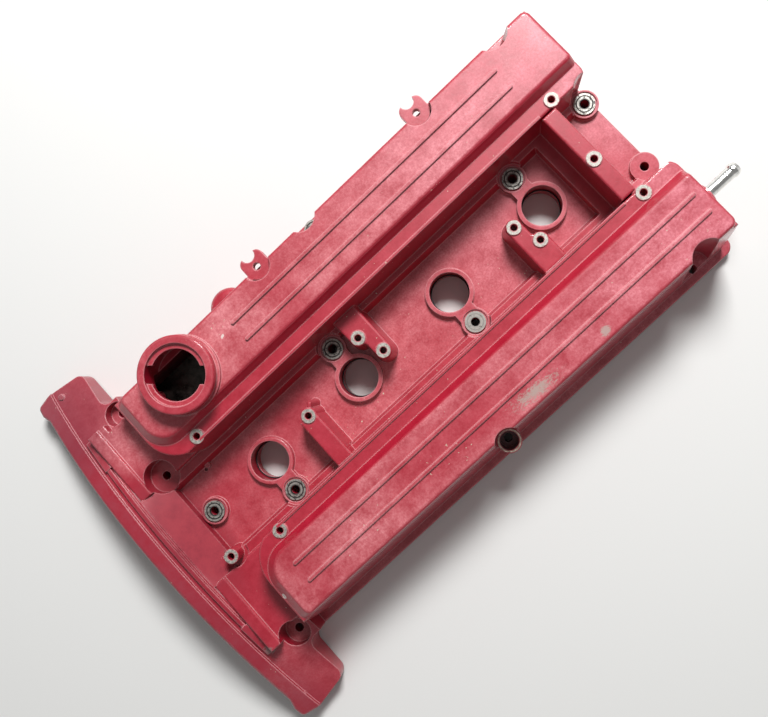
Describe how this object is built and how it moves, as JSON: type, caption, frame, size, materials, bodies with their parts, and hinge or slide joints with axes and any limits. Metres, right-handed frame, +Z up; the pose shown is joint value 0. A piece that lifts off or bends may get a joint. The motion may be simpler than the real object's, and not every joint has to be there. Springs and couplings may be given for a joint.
{
  "type": "engine valve cover",
  "caption": "Cast valve cover of a twin-cam engine: two long banks beside a trough with plug wells and coil platforms, an open oil filler neck and an arch over the timing belt.",
  "frame": {"origin": "axis of plug well 1 on the sealing plane of the casting", "axes": "+X to the rear of the engine, +Y to the bank with the oil filler, +Z up, away from the cylinder head"},
  "size_m": [0.5035, 0.3244, 0.089],
  "materials": {
    "red_paint": "semi-gloss crimson paint on cast aluminium, scuffed",
    "bright_pipe": "bare and polished",
    "seal_rubber": "matt black",
    "baffle_steel": "zinc-plated sheet",
    "screw_steel": "zinc-plated",
    "washer_steel": "dull grey with dark oil in the dimples"
  },
  "bodies": {
    "root": {"cover_casting": "red_paint", "breather_pipe": "bright_pipe", "rail_seal": "seal_rubber", "plug_seal_1": "seal_rubber", "plug_seal_2": "seal_rubber", "plug_seal_3": "seal_rubber", "plug_seal_4": "seal_rubber", "baffle_left": "baffle_steel", "baffle_right": "baffle_steel", "baffle_screw_1": "screw_steel", "baffle_screw_2": "screw_steel", "baffle_screw_3": "screw_steel", "baffle_screw_4": "screw_steel", "baffle_screw_5": "screw_steel", "baffle_screw_6": "screw_steel", "baffle_screw_7": "screw_steel", "baffle_screw_8": "screw_steel", "baffle_screw_9": "screw_steel", "baffle_screw_10": "screw_steel", "baffle_screw_11": "screw_steel", "baffle_screw_12": "screw_steel", "seat_washer_1": "washer_steel", "seat_washer_2": "washer_steel", "seat_washer_3": "washer_steel", "seat_washer_4": "washer_steel", "seat_washer_5": "washer_steel", "seat_washer_6": "washer_steel", "seat_washer_7": "washer_steel"}
  },
  "joints": []
}
